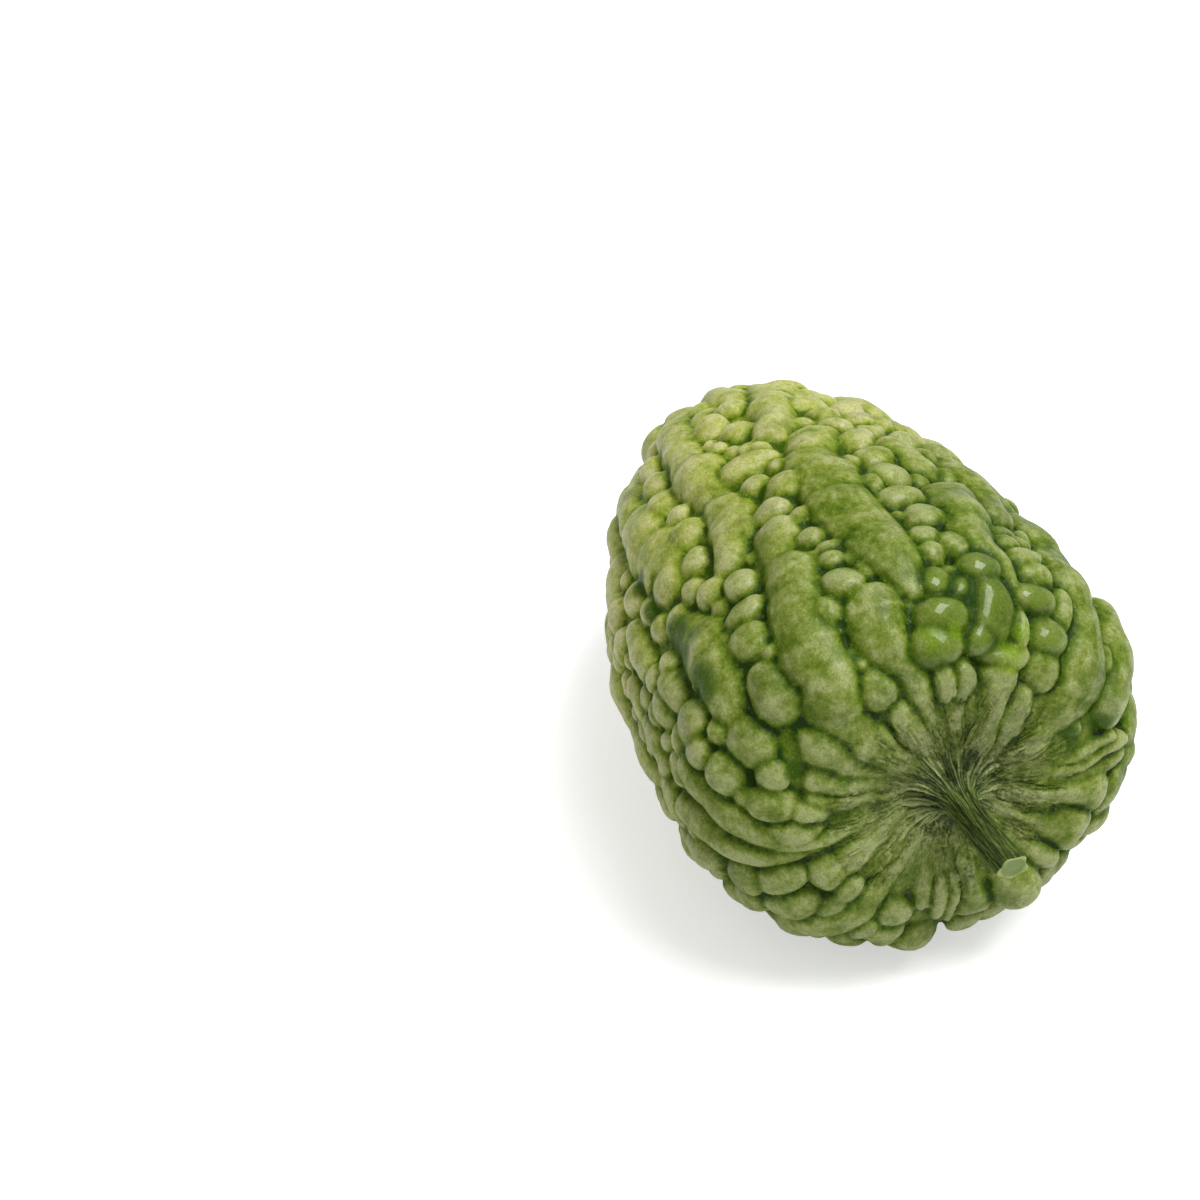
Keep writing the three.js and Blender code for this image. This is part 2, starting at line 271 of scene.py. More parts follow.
# Ridges run over the skin as [distance from the stem, degrees round, half width], with
# degree 0 at +Y, 90 on top, 180 at -Y and 270 underneath. A fourth number lifts a ridge.
ridges = [
    # over the top
    [(78, 119.5, 4.4), (75, 120, 5.4), (70.5, 122, 5.8), (62, 123, 6.2), (55, 126.5, 5.8), (49, 129, 6.1),
     (43, 130, 5.9), (39.5, 130, 5.6), (34, 135, 5.3), (31, 138, 5.2), (26, 139, 5.2),
     (22.5, 139, 4.9, 0.3), (15, 139, 4, 0.6), (10, 138, 2.4, 0.3)],
    [(186, 129, 3.5), (172, 132, 4.6), (158, 131, 5), (137, 131, 5), (117, 131, 5.2), (104, 129.5, 5.6),
     (94, 128.5, 6.3), (85, 128, 6), (80, 130.5, 5), (76.5, 133.5, 4.3), (74, 135.5, 3.6)],
    [(168, 108, 4), (148, 107, 5.5), (136, 109, 5.5), (129, 111, 4)],
    [(152, 91, 4), (134, 94, 5), (125, 98, 5.2), (115, 102, 4.8), (106, 108, 3.8)],
    [(190, 98, 3.5), (178, 96, 4.6), (168, 94, 4.4)],
    [(107, 95, 4.6), (103.5, 96, 5.6), (93, 102, 6.6), (84, 102, 6.3), (73, 103, 6.3), (62.5, 101, 6.1),
     (54, 99, 5.2), (49, 98.5, 4.4), (45.5, 98.5, 3.2)],
    [(52, 108.5, 4.8), (49.5, 109.5, 5.8), (45, 112, 6.3), (39.5, 112, 5.2), (34, 111, 4.3),
     (29.5, 108, 3.8), (23, 109, 3.2), (14.5, 107, 2.4), (10, 106, 1.8)],
    [(26.5, 121, 3.2), (21, 119.5, 4.1, 0.4), (16, 118, 3.4, 0.6), (11, 117, 2.2, 0.3)],
    # side that faces -Y
    [(150, 157, 3.6), (136, 157, 4.8), (117, 153, 5.6), (103.5, 151, 6.3), (93.5, 149, 6.3), (86, 148.5, 6),
     (82, 152, 4.8)],
    [(79, 153, 3.8), (75, 152, 5), (66, 151, 5.8), (58.5, 151, 6), (54, 153.5, 5.6), (49, 156.5, 4.6),
     (46.5, 158, 3.2)],
    [(51, 143.5, 3.8), (48, 143.8, 5.2), (44.5, 145, 5.8), (40, 146, 5.6), (37.2, 147, 4.6)],
    [(35.5, 149, 3.8), (33, 148.5, 5), (28.5, 149.5, 5), (23.5, 152, 4), (18, 153, 3), (12, 151, 2)],
    [(91, 166, 3.5), (86, 166.5, 4.4), (81, 167, 4.6), (76, 168, 3.6)],
    [(39.5, 163, 3.4), (37, 164, 4), (34, 166, 3.4)],
    [(30, 161, 3.2), (24, 161.5, 3.4), (17, 161, 2.6), (11, 160, 1.8)],
    [(29, 169, 2.6), (24, 171, 3.2), (19, 172, 2.6), (12, 171, 1.8)],
    [(165, 168, 4), (152, 171, 5), (140, 170, 5.2), (128, 167, 5), (118, 168, 5.5), (106, 171, 5),
     (98, 169, 4.4)],
    [(166, 147, 4.4), (155, 146, 4.8), (146, 144, 4)],
    [(86, 178, 3.4), (78, 179, 3.6), (70, 180, 3.8), (63, 183, 3.4)],
    [(58, 174, 3.2), (53, 177, 4.2), (46.5, 180, 4.4), (41, 182.5, 4.2), (36, 185.5, 3.8), (31, 188.5, 3.2),
     (25, 189, 2.4), (18, 186, 2), (12, 184, 1.6)],
    [(59, 188, 3), (54.5, 188.5, 3.8), (49.5, 189.5, 4), (45, 191, 4), (41, 192, 3.8), (36, 193.5, 3.2),
     (30, 194, 2.4), (24, 191, 2)],
    [(160, 190, 4.2), (147, 188, 4.8), (130, 190, 5.2), (118, 187, 4.6)],
    [(108, 186, 4.4), (98, 189, 5), (84, 192, 4.8), (72, 193, 4.4), (66, 194, 3.6)],
    [(174, 211, 3.6), (160, 207, 4.6), (149, 208, 4.2)],
    [(138, 212, 4.4), (124, 213, 5.4), (110, 209, 5.2), (98, 206, 4.6)],
    [(88, 208, 4.6), (76, 212, 5), (62, 208, 4.6)],
    [(32, 209, 4.6), (27.5, 208, 5.4), (22, 205.5, 4.6), (17, 203, 3.2), (11, 200, 2)],
    # underneath
    [(168, 232, 4), (154, 230, 4.8), (140, 232, 5.2), (126, 235, 4.6)],
    [(115, 232, 4.6), (105, 231, 5.2), (93, 230, 4.6)],
    [(84, 227, 4.4), (72, 229, 5.4), (61, 231, 5), (50, 229, 4.8), (40, 227, 4.8), (31, 231, 5.2),
     (26, 231, 4.6), (20, 232, 3.6), (14, 236, 2.4)],
    [(173, 254, 3.8), (160, 258, 4.6), (150, 257, 4.2)],
    [(142, 253, 4.4), (128, 253, 5.4), (114, 255, 5.2), (100, 258, 5), (90, 257, 4.4)],
    [(80, 253, 4.6), (65, 253, 5.2), (56, 256, 4.8)],
    [(50, 259, 4.6), (43, 262, 5), (36, 264.5, 5.2)],
    [(28, 259, 3.6), (22, 255, 3), (14, 251, 2)],
    [(160, 279, 4.2), (148, 281, 5), (134, 279, 5.2), (122, 276, 4.8)],
    [(111, 278, 4.6), (96, 282, 5.2), (84, 280, 5.4), (73, 277, 4.8)],
    [(65, 275, 4.4), (55, 279, 5.2), (46, 281, 5.2)],
    [(37, 281, 5.2), (33, 281, 5.8), (28, 281.5, 5.6), (23, 280, 4.2), (18, 276, 3), (12, 275, 2)],
    [(178, 300, 3.5), (164, 303, 4.6), (153, 304, 4.2)],
    [(143, 301, 4.4), (127, 300, 5.4), (113, 303, 5.2), (100, 305, 4.8)],
    [(91, 303, 4.6), (80, 300, 5.2), (68, 301, 5), (56, 305, 4.6)],
    [(37.5, 299, 4.2, 2.2), (33, 299, 4.8, 2.2), (28, 298, 4.2, 1.0), (20, 297, 3), (13, 297, 2)],
    [(27, 289, 2.0), (23, 287, 2.2), (18, 285, 1.6)],
    [(165, 325, 4), (153, 328, 5), (138, 327, 5.2), (125, 324, 4.6)],
    [(116, 324, 4.4), (104, 328, 5.2), (88, 331, 5.4), (77, 328, 4.8)],
    [(68, 325, 4.4), (58, 330, 5.2), (48, 333, 5)],
    [(37, 332, 4.6), (33.5, 332, 5.2), (29, 330.5, 5.4), (24, 328, 4.2), (18, 327, 3), (12, 326, 2.2)],
    [(34, 316, 3.2), (29.5, 314, 3.2), (23, 312, 2.4), (16, 311, 1.7)],
    # side that faces +Y
    [(170, 352, 4), (157, 350, 4.6), (147, 350, 4.2)],
    [(137, 352, 4.4), (123, 355, 5.4), (109, 354, 5.2), (95, 349, 4.8)],
    [(86, 350, 4.6), (75, 352, 5.2), (62, 354, 5), (50, 356, 5)],
    [(37, 347, 4.2), (33, 346.5, 5), (28, 346, 4.6), (22, 345, 3.6), (15, 344, 2.6)],
    [(40, -3, 2.4, 0.4), (33, -4.5, 2.2, 0.4), (26, -6, 1.8), (18, -8, 1.2), (12, -10, 1)],
    [(40, 4, 2.4, 0.8), (34, 2.5, 2.0, 0.8), (27, 0.5, 1.6, 0.4), (19, -1, 1.2), (12, -2, 1)],
    [(36, 9, 2.2, 0.6), (30, 7, 1.8, 0.4), (23, 5, 1.4), (15, 4, 1)],
    [(176, 20, 3.5), (164, 18, 4.4), (150, 19, 5), (136, 21, 5), (124, 20, 4.6)],
    [(114, 17, 4.6), (104, 16, 5), (92, 20, 5.4), (81, 23, 4.8)],
    [(74, 25, 4.6), (67, 22, 4.8)],
    [(64, 23, 4.8, 0.5), (56, 22, 5.6, 1.0), (49, 21, 5.6, 1.2), (43, 20, 5.2, 1.0), (38, 18.5, 4.6, 0.5),
     (33, 17, 3.8)],
    [(166, 45, 4), (154, 47, 4.8), (143, 46, 4.6)],
    [(134, 42, 4.6), (120, 40, 5.6), (106, 38.5, 5.2), (95, 36, 4.8), (88, 36, 4.4)],
    [(82, 42, 4), (76, 43, 5), (66, 44.5, 5.6), (59.5, 45, 6), (52.5, 45, 6), (48, 42, 6.3),
     (42, 39.5, 6.6), (37, 38.5, 6.8), (32, 36.5, 6.8), (27, 34, 6.4), (21.5, 31, 5.2), (15.5, 25, 3.6),
     (10, 22, 2.4)],
    [(138, 62, 4.4), (130, 60, 5.5), (118, 57, 6), (108, 60, 5.2)],
    [(94, 61, 4), (86, 60, 4.6), (78.5, 58.5, 4.6), (70, 60, 4)],
    [(27, 60, 2.8, 0.4), (22.5, 57.5, 3.2, 0.9), (18.5, 53, 2.8, 0.9), (13.5, 46, 1.9, 0.5), (10, 38, 1.2)],
    [(31, 75, 3.4, 0.4), (26, 73, 4, 0.9), (20.5, 70.5, 3.6, 1.1), (14, 66, 2.5, 0.8), (9, 60, 1.4)],
    [(27, 82, 2.4), (21, 82, 2.2, 0.3), (14, 82, 1.6)],
    [(24, 93, 2.4, 0.3), (18, 92, 2.2, 0.6), (11, 91, 1.3)],
    [(180, 73, 4), (165, 72, 5.2), (156, 74, 5.5), (148, 76, 5.4)],
    [(118, 84, 4), (110.5, 86.5, 5), (105, 88, 4.2)],
    [(97, 77, 3.6), (91.5, 76, 4.6), (87, 73.5, 4.8), (83.5, 72.5, 4)],
    [(79.5, 72, 4.4), (74, 72.5, 5.6), (65, 75, 6), (57, 75, 5.2), (52, 71, 3.6), (46.5, 68, 2.4)],
    # round the blossom tip
    [(197, 60, 3.4), (188, 50, 4)],
    [(197, 170, 3.4), (184, 160, 4.5)],
    [(197, 285, 3.4), (186, 275, 4)],
    [(195, 228, 3.0), (186, 235, 3.6)],
    [(195, 345, 3.0), (184, 340, 3.8)],
]

# Warts as (distance from the stem, degrees round, half width round, half width along)
warts = [
    # between the two ridges over the top
    (126, 120, 4, 4.5), (116, 112.5, 4.6, 5), (112, 122, 2.6, 2.6), (99.5, 117.5, 6.2, 4.2),
    (91, 117.5, 2.8, 3.4), (86, 111.5, 4.8, 4.4), (81, 118.5, 3.9, 2.8), (75.5, 112.5, 2.7, 2.4),
    (74, 116.5, 1.9, 1.6), (68.5, 113.5, 2.9, 2.5), (64.5, 111, 2.7, 1.7), (64, 115.5, 1.5, 1.5),
    (61, 112.5, 2.7, 2.4), (59.5, 108, 1.8, 2), (56, 107, 1.6, 2.6), (54, 113.5, 3.8, 3.8),
    (50, 122, 3.3, 3.4), (46, 121, 1.4, 1.4), (43, 123, 1.6, 1.6), (41, 120.5, 1.3, 1.3),
    (37.5, 120.5, 1.5, 1.6), (31.5, 122.3, 3.4, 3.6), (95, 110, 1.8, 2), (136, 119, 4, 3.6),
    (144, 120, 4, 3.6),
    # on the side that faces -Y
    (109.5, 143.5, 5, 6.4), (91.5, 140, 4.2, 4.4), (83, 141.5, 3.3, 3), (78, 145, 2.5, 3),
    (73, 141, 3.6, 3.3), (68.5, 134.5, 3.1, 3.7), (62, 137, 4.2, 2.9), (56, 139.5, 4, 3.7),
    (60, 144, 2, 2.4), (100, 139, 3, 2.6), (120, 143, 3.4, 4), (130, 143, 3.6, 4), (51, 137, 1.8, 1.6),
    (67, 163.5, 3.6, 5), (71.5, 160.5, 2.4, 3), (68, 169.5, 3.6, 4), (76, 174, 2.6, 3), (57, 164.5, 4, 3.9),
    (49.5, 161, 2.5, 3), (43.5, 158.8, 4.6, 5), (53, 168, 3.2, 3.6), (45.5, 169.5, 4, 4), (59.5, 170, 3, 3),
    (58.5, 177, 3.2, 4), (41, 173, 2.6, 2.4), (35.3, 173.5, 3.7, 4.5), (28.7, 174.5, 2.6, 3.8),
    (31, 183.5, 3.4, 4.8), (93, 173, 4, 3.6), (95, 160, 3.4, 4), (87, 158, 2.6, 3), (71, 173.5, 2.6, 3),
    (44, 203, 3.8, 3.8), (36.3, 203.5, 3.7, 4.8), (38.5, 215, 4, 5), (48, 214, 3.6, 4),
    (31.5, 221.5, 2.4, 3.4), (55, 200, 3.4, 5), (62, 202, 3.6, 3.6), (55, 217, 4, 4), (27, 220, 2.6, 3),
    (29, 247, 3.4, 3), (35, 247, 4.2, 4), (34, 240, 3.2, 3.6), (26, 265, 1.6, 4.6), (26, 270, 1.4, 5.4),
    (44, 243, 4, 4), (41, 253, 3.2, 3.4),
    # on the side that faces +Y
    (112.5, 96, 3, 1.8), (123, 88, 4.5, 4.5), (98.5, 86, 4.2, 3.8), (89, 92.7, 1.8, 2.6),
    (89.5, 85.3, 4, 3.5), (81.5, 86.5, 4.6, 3), (79.5, 92, 2.8, 3.4), (74, 87, 4.8, 3.1),
    (68, 91.2, 1.4, 1.4), (66.5, 84.5, 4, 3.6), (60, 88.5, 3, 3.1), (55, 89.5, 2.9, 2.8),
    (56.5, 82.5, 3, 4), (50, 87.5, 1.8, 1.5), (50.5, 78.5, 4.4, 3.6), (48.2, 92.5, 3.4, 3.1),
    (46, 85.8, 2.4, 2.7), (41, 93, 4.7, 3.5), (41.8, 78, 4.8, 6.3), (35.5, 82, 3.6, 3),
    (34.5, 97.5, 4.8, 3.9), (32, 73.2, 4.4, 2.6), (37.5, 68.3, 1.5, 3.4), (45, 62, 4.4, 3.1),
    (45, 52.5, 2.3, 4.2), (37.8, 56.5, 4, 3.5), (31.5, 55, 4.1, 3.7), (60, 65, 3, 2.9), (55, 63, 3.7, 3.1),
    (50.8, 60.5, 3.5, 3.1), (64, 65, 2.2, 2), (27, 89.5, 2.3, 3.5), (27.5, 97, 2, 3.6), (103, 79, 3.2, 3),
    (92, 69, 3.2, 3), (100, 69, 3.6, 3.2), (113, 76, 4, 3.4), (112, 69, 3.6, 3.2), (121, 74, 3.6, 3),
    (27.5, 23, 1.4, 1.4), (43, 30, 2.4, 3), (143, 84, 4.4, 4), (135, 84, 3.4, 3), (151, 98, 3.6, 3.4),
    (137, 77, 3.6, 3.4), (128, 79, 3.4, 3), (85, 66, 2.6, 3),
]


def curveThrough(given, countFor):
    # Catmull-Rom through the given rows, with as many points on each stretch as countFor says
    padded = np.vstack([2 * given[0] - given[1], given, 2 * given[-1] - given[-2]])
    rows = []
    for a, b, c, d in zip(padded[:-3], padded[1:-2], padded[2:-1], padded[3:]):
        t = np.linspace(0, 1, countFor(b, c), endpoint=False)[:, None]
        cubic = (2 * b) + (c - a) * t + (2 * a - 5 * b + 4 * c - d) * t**2
        rows.append(0.5 * (cubic + (3 * b - a - 3 * c + d) * t**3))
    return np.vstack([*rows, given[-1:]])


def outlineCurve():
    # the outline as close (x, radius) rows, with the distance run
    rows = curveThrough(np.array(fruit["outline"], float), lambda *ends: fruit["outlineSteps"])
    run = np.concatenate([[0], np.cumsum(np.hypot(*np.diff(rows, axis=0).T))])
    return rows, run


outlineRows, outlineRun = outlineCurve()
skinLength = outlineRun[-1]
tangents = np.gradient(outlineRows, outlineRun, axis=0)
tangents /= np.linalg.norm(tangents, axis=1)[:, None]


def eased(share):
    return share * share * (3 - 2 * share)


def valleyAt(distance):
    toEnd = np.minimum(distance, skinLength - distance) / fruit["valleyFade"]
    return fruit["valleyDepth"] * eased(np.clip(toEnd, 0, 1))


def floorAt(distance):
    # how deep the valley floor lies; it comes up to meet the ridges round the stem
    share = np.clip((distance - 6) / fruit["funnelReach"], 0, 1)
    filled = fruit["funnelFill"] * (1 - eased(share))
    return valleyAt(distance) * (1 - fruit["floorLift"]) * (1 - filled)


def girthAt(x, angle):
    sway = fruit["sway"] * np.exp(-((x - fruit["swayMiddle"]) / fruit["swayReach"]) ** 2)
    return 1 - (fruit["girthLean"] + sway) * np.cos(angle) + fruit["girthFlat"] * np.cos(2 * angle)


def skinPoint(distance, degrees, height):
    # a point at a height over the outline, and the way the skin faces there
    given = (np.asarray(value, float) for value in (distance, degrees, height))
    distance, degrees, height = np.broadcast_arrays(*given)
    x, r = (np.interp(distance, outlineRun, outlineRows[:, k]) for k in (0, 1))
    tx, tr = (np.interp(distance, outlineRun, tangents[:, k]) for k in (0, 1))
    angle = np.radians(degrees)
    radius = (r - height * tx) * girthAt(x, angle)
    point = np.stack([x + height * tr, radius * np.cos(angle), radius * np.sin(angle)], -1)
    normal = np.stack([tr, -tx * np.cos(angle), -tx * np.sin(angle)], -1)
    along = np.stack([tx, tr * np.cos(angle), tr * np.sin(angle)], -1)
    return point, normal, along


def overSkin(points):
    # the other way round: distance from the stem, angle round and height over the outline
    angle = np.arctan2(points[:, 2], points[:, 1])
    girth = girthAt(points[:, 0], angle)
    flat = np.stack([points[:, 0], np.hypot(points[:, 1], points[:, 2]) / girth], -1)
    nearest = np.concatenate([np.argmin(((part[:, None] - outlineRows[None]) ** 2).sum(-1), 1)
                              for part in np.array_split(flat, 40)])  # in parts, to save memory
    offset = flat - outlineRows[nearest]
    tangent = tangents[nearest]
    distance = outlineRun[nearest] + (offset * tangent).sum(1)
    height = offset[:, 0] * tangent[:, 1] - offset[:, 1] * tangent[:, 0]
    return distance, angle, height


def stretched(distance):
    # bumps sit a little further out along the skin than their tables say
    past = 1 - np.clip(distance / 200, 0, 1) ** 4
    return distance + fruit["spread"] * (distance - fruit["shoulder"]) * past


def smoothPath(path, step=1.5):
    # rounds a path's corners and spaces its points about a step apart
    given = np.array([tuple(p) + (0.0,) * (4 - len(p)) for p in path], float)
    head, tail = given[0, :2] - given[1, :2], given[-1, :2] - given[-2, :2]
    given[0, :2] += head / abs(head[0]) * fruit["overrun"]
    if given[-1, 0] < fruit["funnelEdge"]:
        foot = [fruit["funnelFoot"], given[-1, 1], 0.55 * given[-1, 2], 0]
        given = np.vstack([given, foot])
    else:
        given[-1, :2] += tail / abs(tail[0]) * fruit["overrun"]
    rows = curveThrough(given, lambda start, end: max(2, int(abs(end[0] - start[0]) / step)))
    rows[:, 0] = stretched(rows[:, 0])
    rows[:, 2] = np.maximum(rows[:, 2], 0.8)
    return rows


def evened(values, rounds=6):
    for _ in range(rounds):
        padded = np.concatenate([values[:1], values, values[-1:]])
        values = (padded[:-2] + 2 * values + padded[2:]) / 4
    return values


guideKinds = {"floor": 0.0, "ridge": 1.0, "wart": 2.0}  # what each point of the helper mesh stands for


def guideMesh():
    # one helper mesh: the valley floor as faces, the ridges as edges, the warts as points
    around, along = fruit["floorAround"], fruit["floorAlong"]
    distances = np.linspace(0, skinLength, along + 1)[1:-1]
    angles = np.linspace(0, 360, around, endpoint=False)
    grid = skinPoint(distances[:, None], angles[None, :], -floorAt(distances)[:, None])[0]
    floor = np.vstack([grid.reshape(-1, 3), [(outlineRows[end, 0], 0, 0) for end in (0, -1)]])
    faces = [face[:1] + face[:0:-1] for i in range(along - 2) for face in band(i * around, around)]
    first, last = len(floor) - 2, len(floor) - 1
    for j in range(around):
        k = (j + 1) % around
        faces.append((first, j, k))
        faces.append((last, (along - 2) * around + k, (along - 2) * around + j))
    nowhere = np.zeros(floor.shape)
    layers = [(floor, np.full(len(floor), guideKinds["floor"]), nowhere, nowhere, nowhere)]
    edges = []
    total = len(floor)
    for path in ridges:
        rows = smoothPath(path)
        valley, halfWidth = valleyAt(rows[:, 0]), evened(rows[:, 2]) * fruit["ridgeSpread"]
        crease = np.minimum(fruit["creaseDepth"], 0.75 * valley + 0.2)
        radius = np.maximum(halfWidth, (halfWidth**2 + crease**2) / (2 * crease))
        top = rows[:, 3] - 0.5 * np.maximum(valley - halfWidth, 0)
        place, facing, run = skinPoint(rows[:, 0], rows[:, 1], top - radius)
        layers.append((place, np.full(len(rows), guideKinds["ridge"]), np.repeat(radius[:, None], 3, 1),
                       facing, run))
        edges += [(total + i, total + i + 1) for i in range(len(rows) - 1)]
        total += len(rows)
    rows = np.array(warts, float)
    rows[:, 0] = stretched(rows[:, 0])
    reach = rows[:, 2:4].mean(1)
    top = 0.1 + fruit["wartRise"] * reach - floorAt(rows[:, 0])
    top = np.minimum(top, -0.1 * valleyAt(rows[:, 0]))
    place, facing, run = skinPoint(rows[:, 0], rows[:, 1], top - reach)
    size = np.stack([rows[:, 3], rows[:, 2], reach / fruit["wartSpread"]], -1) * fruit["wartSpread"]
    layers.append((place, np.full(len(rows), guideKinds["wart"]), size, facing, run))
    points, kind, size, facing, run = (np.concatenate(column) for column in zip(*layers))
    guide = linkMesh("fruitGuide", points * mm, edges, faces)
    setAttribute(guide.data, "kind", kind)
    for name, values in (("size", size * mm), ("facing", facing), ("run", run)):
        setAttribute(guide.data, name, values, "FLOAT_VECTOR")
    return guide


def bumpTree(values):
    tree, sockets, given, result = shapeGroup("warty ridges", values)

    def only(kind):
        values = {"A": named(tree, "kind"), "B": guideKinds[kind], "Epsilon": 0.1}
        wanted = made(tree, "FunctionNodeCompare", values, data_type="FLOAT", operation="EQUAL")
        return made(tree, "GeometryNodeSeparateGeometry",
                    {"Geometry": given["Geometry"], "Selection": wanted}, domain="POINT")

    size = named(tree, "size", "FLOAT_VECTOR")
    floor = only("floor")

    # ridges: a tube along each path, in lobes with necks between them and rounded at both ends
    curve = made(tree, "GeometryNodeMeshToCurve", {"Mesh": only("ridge")})
    curve = made(tree, "GeometryNodeResampleCurve",
                 {"Curve": curve, "Length": fruit["tubeStep"] * mm}, mode="LENGTH")
    halfWidth = vectorCalc("LENGTH", size, output=1) * (1 / math.sqrt(3))
    run = made(tree, "GeometryNodeSplineParameter", output="Length")
    whole = made(tree, "GeometryNodeSplineLength", output="Length")
    shift = whole * 977.0  # any large number, so that each ridge has lobes of its own
    lobe = made(tree, "ShaderNodeTexVoronoi",
                {"W": run / given["Lobe length"] + shift, "Scale": 1.0, "Randomness": 0.6},
                output="Distance", voronoi_dimensions="1D")
    neck = lobe * lobe * (given["Neck depth"] * -4.0)
    noise = made(tree, "ShaderNodeTexNoise", {"Scale": fruit["swellScale"], "Detail": 0.0})
    waver = (noise - 0.5) * (given["Ridge swell"] * 4.0)
    radius = halfWidth * (waver + neck + 1.0)
    toEnd = calc("MINIMUM", run, whole - run)
    inRadii = toEnd / (radius * 0.75)
    short = calc("SUBTRACT", 1.0, inRadii, clamp=True)
    roundEnd = calc("SQRT", 1.001 - short * short)
    profile = made(tree, "GeometryNodeCurvePrimitiveCircle", {"Resolution": 24, "Radius": 1.0})
    tubes = made(tree, "GeometryNodeCurveToMesh",
                 {"Curve": curve, "Profile Curve": profile, "Scale": radius * roundEnd, "Fill Caps": True})

    # one wart: a ball whose lower half runs down into the flesh
    ball = made(tree, "GeometryNodeMeshIcoSphere", {"Radius": 1.0, "Subdivisions": 4})
    height = made(tree, "ShaderNodeSeparateXYZ", {0: position(tree)}, output=2)
    under = calc("LESS_THAN", height, -0.01)
    sink = made(tree, "ShaderNodeCombineXYZ", {2: under * -2.0})
    wart = made(tree, "GeometryNodeSetPosition", {"Geometry": ball, "Offset": sink})

    # the listed warts
    points = made(tree, "GeometryNodeMeshToPoints", {"Mesh": only("wart")})
    axes = {"Primary Axis": named(tree, "facing", "FLOAT_VECTOR"),
            "Secondary Axis": named(tree, "run", "FLOAT_VECTOR")}
    turn = made(tree, "FunctionNodeAxesToRotation", axes, primary_axis="Z", secondary_axis="X")
    placed = copied({"Points": points, "Instance": wart, "Rotation": turn, "Scale": size})
    known = joined(tubes, placed)

    # two rounds of small warts fill the valleys that are left, the second round smaller
    for turnNumber, (share, clearance) in enumerate(((1.0, 0.5), (0.55, 0.8))):
        scatter = madeAll(tree, "GeometryNodeDistributePointsOnFaces",
                          {"Mesh": floor, "Distance Min": given["Filler gap"] * share,
                           "Density Max": fruit["fillerDensity"], "Seed": given["Seed"] + turnNumber},
                          distribute_method="POISSON")
        outward = scatter["Normal"]
        covered = made(tree, "GeometryNodeRaycast",
                       {"Target Geometry": known, "Ray Direction": outward, "Ray Length": 0.02},
                       output="Is Hit")
        away = made(tree, "GeometryNodeProximity", {"Geometry": known}, output="Distance",
                    target_element="FACES")
        largest = given["Filler largest"] * share
        reach = calc("MINIMUM", away + 0.6 * mm, largest)
        uneven = made(tree, "FunctionNodeRandomValue",
                      {0: (1.25, 1.2, 0.6), 1: (1.9, 1.6, 0.95), "Seed": 5 + turnNumber},
                      data_type="FLOAT_VECTOR")
        spin = made(tree, "FunctionNodeRandomValue", {0: (0, 0, 0), 1: (0, 0, 6.28), "Seed": 7 + turnNumber},
                    data_type="FLOAT_VECTOR")
        turned = made(tree, "FunctionNodeRotateRotation",
                      {"Rotation": scatter["Rotation"], "Rotate By": spin}, rotation_space="LOCAL")
        x = made(tree, "ShaderNodeSeparateXYZ", {0: position(tree)})
        keep = calc("LESS_THAN", covered, 0.5) * calc("GREATER_THAN", away, clearance * mm)
        keep = keep * calc("LESS_THAN", x, fruit["fillerEnd"] * mm)
        lifted = moved(scatter["Points"], outward, reach * 0.05)
        fillers = copied({"Points": lifted, "Selection": keep, "Instance": wart, "Rotation": turned,
                          "Scale": scaled(uneven, reach)})
        known = joined(known, fillers)

    # nothing grows quite round
    bent = made(tree, "ShaderNodeTexNoise", {"Scale": given["Warp scale"], "Detail": 1.0}, output="Color")
    offset = vectorCalc("SUBTRACT", bent, (0.5, 0.5, 0.5))
    endTree(moved(joined(floor, known), offset, given["Warp"]), given, result)
    return tree, sockets


def copied(values):
    # an instance on each point, made real
    tree = values["Points"].tree
    placed = made(tree, "GeometryNodeInstanceOnPoints", values)
    return made(tree, "GeometryNodeRealizeInstances", {"Geometry": placed})


def joined(*parts):
    tree = treeOf(parts)
    node = tree.nodes.new("GeometryNodeJoinGeometry")
    for part in parts:
        tree.links.new(part.socket, node.inputs[0])
    return Wire(tree, node.outputs[0])


def endTree(shape, given, result):
    # every tree ends in real geometry with its material on it
    shape = made(shape.tree, "GeometryNodeRealizeInstances", {"Geometry": shape})
    shape = made(shape.tree, "GeometryNodeSetMaterial", {"Geometry": shape, "Material": given["Material"]})
    feed(shape.tree, result, {"Geometry": shape})


def blurredPlace(tree, rounds):
    return made(tree, "GeometryNodeBlurAttribute", {"Value": position(tree), "Iterations": rounds},
                data_type="FLOAT_VECTOR")


def evenTree(values):
    # evens out the merged skin, cuts its creases in again, and measures how hollow it is near and wide
    tree, sockets, given, result = shapeGroup("crisp skin", values)
    place = position(tree)
    normal = made(tree, "GeometryNodeInputNormal")
    shape = made(tree, "GeometryNodeSetPosition",
                 {"Geometry": given["Geometry"], "Position": blurredPlace(tree, given["Evening"])})
    # pushes out what stands proud of its blurred place, widely and then narrowly
    for rounds, strength in ((14, given["Fullness"]), (4, given["Crispness"])):
        crisp = vectorCalc("SUBTRACT", place, blurredPlace(tree, rounds))
        shape = moved(shape, crisp, strength)
    # the more rounds of blur, the wider the hollow that is measured
    # the skin's colour is darkened by these, as painted shade
    for name, rounds in (("crease", 5), ("slope", 30), ("hollow", 260)):
        away = vectorCalc("SUBTRACT", blurredPlace(tree, rounds), place)
        depth = vectorCalc("DOT_PRODUCT", away, normal, output=1)
        shape = store(shape, name, depth * (1 / mm))
    endTree(shape, given, result)
    return tree, sockets


